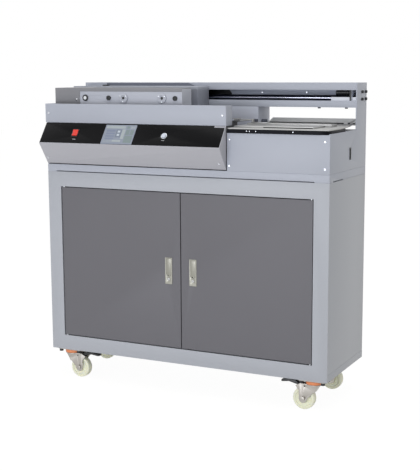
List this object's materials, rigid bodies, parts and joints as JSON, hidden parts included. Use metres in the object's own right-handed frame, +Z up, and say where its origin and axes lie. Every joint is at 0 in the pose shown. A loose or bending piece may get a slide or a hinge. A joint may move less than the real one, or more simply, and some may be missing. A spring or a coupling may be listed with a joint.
{
  "type": "thermal binding machine",
  "caption": "Floor-standing hot-melt book binder: cabinet with doors on braked casters, control console, clamp carriage on a beam, lifting cover table.",
  "frame": {"origin": "on the floor under the middle of the machine, between the four wheels", "axes": "+Z up, the operator stands on the -Y side, +X to the right of the operator along the beam"},
  "size_m": [1.0605, 0.405, 1.052],
  "materials": {
    "cabinet_paint": "light blue-grey, satin powder coat",
    "door_paint": "mid grey, satin powder coat",
    "body_paint": "light blue-grey, satin powder coat",
    "cover_paint": "dark grey, satin",
    "zinc": "zinc-plated pressed steel",
    "steel": "ground steel, bright",
    "stainless": "satin stainless",
    "aluminium": "satin aluminium, light",
    "motor_paint": "black paint on motor cans",
    "black_metal": "black coated steel",
    "wheel_plastic": "cream translucent nylon",
    "orange_plastic": "orange dust ring",
    "black_plastic": "matt black",
    "gloss_black": "glossy black panel",
    "screen": "touch panel, pale when lit",
    "red_plastic": "red rocker",
    "white_plastic": "off-white end stop",
    "tank_metal": "dark cast glue pot"
  },
  "bodies": {
    "machine_frame": {"base_tray": "body_paint", "beam_shell": "body_paint", "beam_stops": "white_plastic", "bolts_and_screws": "black_metal", "cabinet_base": "cabinet_paint", "cabinet_shell": "cabinet_paint", "cable_entry": "black_plastic", "caster_dust_rings": "orange_plastic", "caster_plates": "zinc", "console_body": "body_paint", "console_cover": "body_paint", "console_fascia": "gloss_black", "control_unit": "black_plastic", "door_hinge_pins": "steel", "drive_motors": "motor_paint", "front_frame": "cabinet_paint", "glue_tank": "tank_metal", "guide_rods": "steel", "left_side_panel": "body_paint", "rear_housing": "body_paint", "right_deck": "body_paint", "right_end_frame": "body_paint", "right_front_panel": "body_paint", "touch_screen": "screen"},
    "left_door": {"left_door": "door_paint", "left_lock_case": "stainless"},
    "right_door": {"right_door": "door_paint", "right_lock_case": "stainless"},
    "left_paddle": {"left_lock_paddle": "stainless"},
    "right_paddle": {"right_lock_paddle": "stainless"},
    "left_button": {"left_lock_button": "stainless"},
    "right_button": {"right_lock_button": "stainless"},
    "swivel_front_left": {"caster_fork_front_left": "zinc"},
    "swivel_front_right": {"caster_fork_front_right": "zinc"},
    "swivel_rear_left": {"caster_fork_rear_left": "zinc"},
    "swivel_rear_right": {"caster_fork_rear_right": "zinc"},
    "wheel_front_left": {"caster_wheel_front_left": "wheel_plastic"},
    "wheel_front_right": {"caster_wheel_front_right": "wheel_plastic"},
    "wheel_rear_left": {"caster_wheel_rear_left": "wheel_plastic"},
    "wheel_rear_right": {"caster_wheel_rear_right": "wheel_plastic"},
    "brake_front_left": {"brake_pedal_front_left": "black_metal"},
    "brake_front_right": {"brake_pedal_front_right": "black_metal"},
    "power_rocker": {"power_rocker": "red_plastic"},
    "start_button": {"start_button": "stainless"},
    "carriage": {"carriage_frame": "aluminium", "clamp_front_plate": "aluminium", "clamp_fittings": "aluminium", "clamp_cover": "cover_paint"},
    "jaw": {"moving_jaw": "aluminium"},
    "clamp_screw": {"clamp_screw": "steel"},
    "drive_screw": {"drive_screw": "black_metal"},
    "milling_cutter": {"milling_cutter": "steel"},
    "glue_roller": {"glue_roller": "steel"},
    "nip_table": {"table_tray": "black_plastic", "cover_table": "steel", "rear_nip_plate": "aluminium"},
    "front_nip": {"front_nip_plate": "steel"},
    "cover_guide": {"cover_guide": "steel"},
    "knob_left": {"guide_knob_left": "black_plastic"},
    "knob_right": {"guide_knob_right": "black_plastic"}
  },
  "joints": [
    {"name": "left_door_hinge", "type": "hinge", "parent": "machine_frame", "child": "left_door", "pos_m": [-0.464, -0.1445, 0.405], "axis": [0, 0, -1], "range_deg": [0, 100]},
    {"name": "right_door_hinge", "type": "hinge", "parent": "machine_frame", "child": "right_door", "pos_m": [0.464, -0.1445, 0.405], "axis": [0, 0, 1], "range_deg": [0, 100]},
    {"name": "left_paddle_hinge", "type": "hinge", "parent": "left_door", "child": "left_paddle", "pos_m": [-0.046, -0.15, 0.4645], "axis": [-1, 0, 0], "range_deg": [0, 40], "stiffness_Nm_per_rad": 0.02},
    {"name": "left_button_slide", "type": "slide", "parent": "left_door", "child": "left_button", "axis": [0, 1, 0], "range_m": [0, 0.0025], "stiffness_N_per_m": 300},
    {"name": "right_paddle_hinge", "type": "hinge", "parent": "right_door", "child": "right_paddle", "pos_m": [0.046, -0.15, 0.4645], "axis": [-1, 0, 0], "range_deg": [0, 40], "stiffness_Nm_per_rad": 0.02},
    {"name": "right_button_slide", "type": "slide", "parent": "right_door", "child": "right_button", "axis": [0, 1, 0], "range_m": [0, 0.0025], "stiffness_N_per_m": 300},
    {"name": "swivel_turn_front_left", "type": "hinge", "parent": "machine_frame", "child": "swivel_front_left", "pos_m": [-0.46, -0.117, 0.0872], "axis": [0, 0, 1], "continuous": true},
    {"name": "wheel_spin_front_left", "type": "hinge", "parent": "swivel_front_left", "child": "wheel_front_left", "pos_m": [-0.426, -0.117, 0.0375], "axis": [0, 1, 0], "continuous": true},
    {"name": "brake_hinge_front_left", "type": "hinge", "parent": "swivel_front_left", "child": "brake_front_left", "pos_m": [-0.432, -0.117, 0.0807], "axis": [0, 1, 0], "range_deg": [0, 18]},
    {"name": "swivel_turn_front_right", "type": "hinge", "parent": "machine_frame", "child": "swivel_front_right", "pos_m": [0.47, -0.117, 0.0872], "axis": [0, 0, 1], "continuous": true},
    {"name": "wheel_spin_front_right", "type": "hinge", "parent": "swivel_front_right", "child": "wheel_front_right", "pos_m": [0.436, -0.117, 0.0375], "axis": [0, -1, 0], "continuous": true},
    {"name": "brake_hinge_front_right", "type": "hinge", "parent": "swivel_front_right", "child": "brake_front_right", "pos_m": [0.442, -0.117, 0.0807], "axis": [0, -1, 0], "range_deg": [0, 18]},
    {"name": "swivel_turn_rear_left", "type": "hinge", "parent": "machine_frame", "child": "swivel_rear_left", "pos_m": [-0.439, 0.129, 0.0872], "axis": [0, 0, 1], "continuous": true},
    {"name": "wheel_spin_rear_left", "type": "hinge", "parent": "swivel_rear_left", "child": "wheel_rear_left", "pos_m": [-0.473, 0.129, 0.0375], "axis": [0, -1, 0], "continuous": true},
    {"name": "swivel_turn_rear_right", "type": "hinge", "parent": "machine_frame", "child": "swivel_rear_right", "pos_m": [0.409, 0.129, 0.0872], "axis": [0, 0, 1], "continuous": true},
    {"name": "wheel_spin_rear_right", "type": "hinge", "parent": "swivel_rear_right", "child": "wheel_rear_right", "pos_m": [0.443, 0.129, 0.0375], "axis": [0, 1, 0], "continuous": true},
    {"name": "rocker_hinge", "type": "hinge", "parent": "machine_frame", "child": "power_rocker", "pos_m": [-0.391, -0.17571, 0.88292], "axis": [-1, 0, 0], "range_deg": [0, 20]},
    {"name": "start_button_slide", "type": "slide", "parent": "machine_frame", "child": "start_button", "axis": [0, 0.8098, -0.5868], "range_m": [0, 0.003], "stiffness_N_per_m": 300},
    {"name": "carriage_slide", "type": "slide", "parent": "machine_frame", "child": "carriage", "axis": [1, 0, 0], "range_m": [0, 0.535]},
    {"name": "jaw_slide", "type": "slide", "parent": "carriage", "child": "jaw", "axis": [0, 1, 0], "range_m": [0, 0.046]},
    {"name": "clamp_screw_turn", "type": "hinge", "parent": "carriage", "child": "clamp_screw", "pos_m": [-0.394, -0.0925, 1.002], "axis": [0, 1, 0], "range_deg": [0, 1660]},
    {"name": "drive_screw_turn", "type": "hinge", "parent": "machine_frame", "child": "drive_screw", "pos_m": [-0.025, 0.1555, 1.002], "axis": [1, 0, 0], "range_deg": [0, 9640]},
    {"name": "cutter_spin", "type": "hinge", "parent": "machine_frame", "child": "milling_cutter", "pos_m": [0.015, -0.0115, 0.933], "axis": [0, 0, 1], "continuous": true},
    {"name": "glue_roller_spin", "type": "hinge", "parent": "machine_frame", "child": "glue_roller", "pos_m": [0.1, -0.0115, 0.918], "axis": [0, 1, 0], "continuous": true},
    {"name": "nip_table_lift", "type": "slide", "parent": "machine_frame", "child": "nip_table", "axis": [0, 0, 1], "range_m": [0, 0.015]},
    {"name": "front_nip_slide", "type": "slide", "parent": "nip_table", "child": "front_nip", "axis": [0, 1, 0], "range_m": [-0.03, 0.008]},
    {"name": "cover_guide_slide", "type": "slide", "parent": "nip_table", "child": "cover_guide", "axis": [1, 0, 0], "range_m": [0, 0.2]},
    {"name": "guide_knob_turn_left", "type": "hinge", "parent": "cover_guide", "child": "knob_left", "pos_m": [0.205, 0.0095, 0.931], "axis": [0, 0, 1], "range_deg": [0, 360]},
    {"name": "guide_knob_turn_right", "type": "hinge", "parent": "cover_guide", "child": "knob_right", "pos_m": [0.235, 0.0095, 0.931], "axis": [0, 0, 1], "range_deg": [0, 360]}
  ],
  "couplings": [
    {"joint": "clamp_screw_turn", "follows": "jaw_slide", "rad_per_m": 628.32},
    {"joint": "drive_screw_turn", "follows": "carriage_slide", "rad_per_m": 314.16}
  ]
}
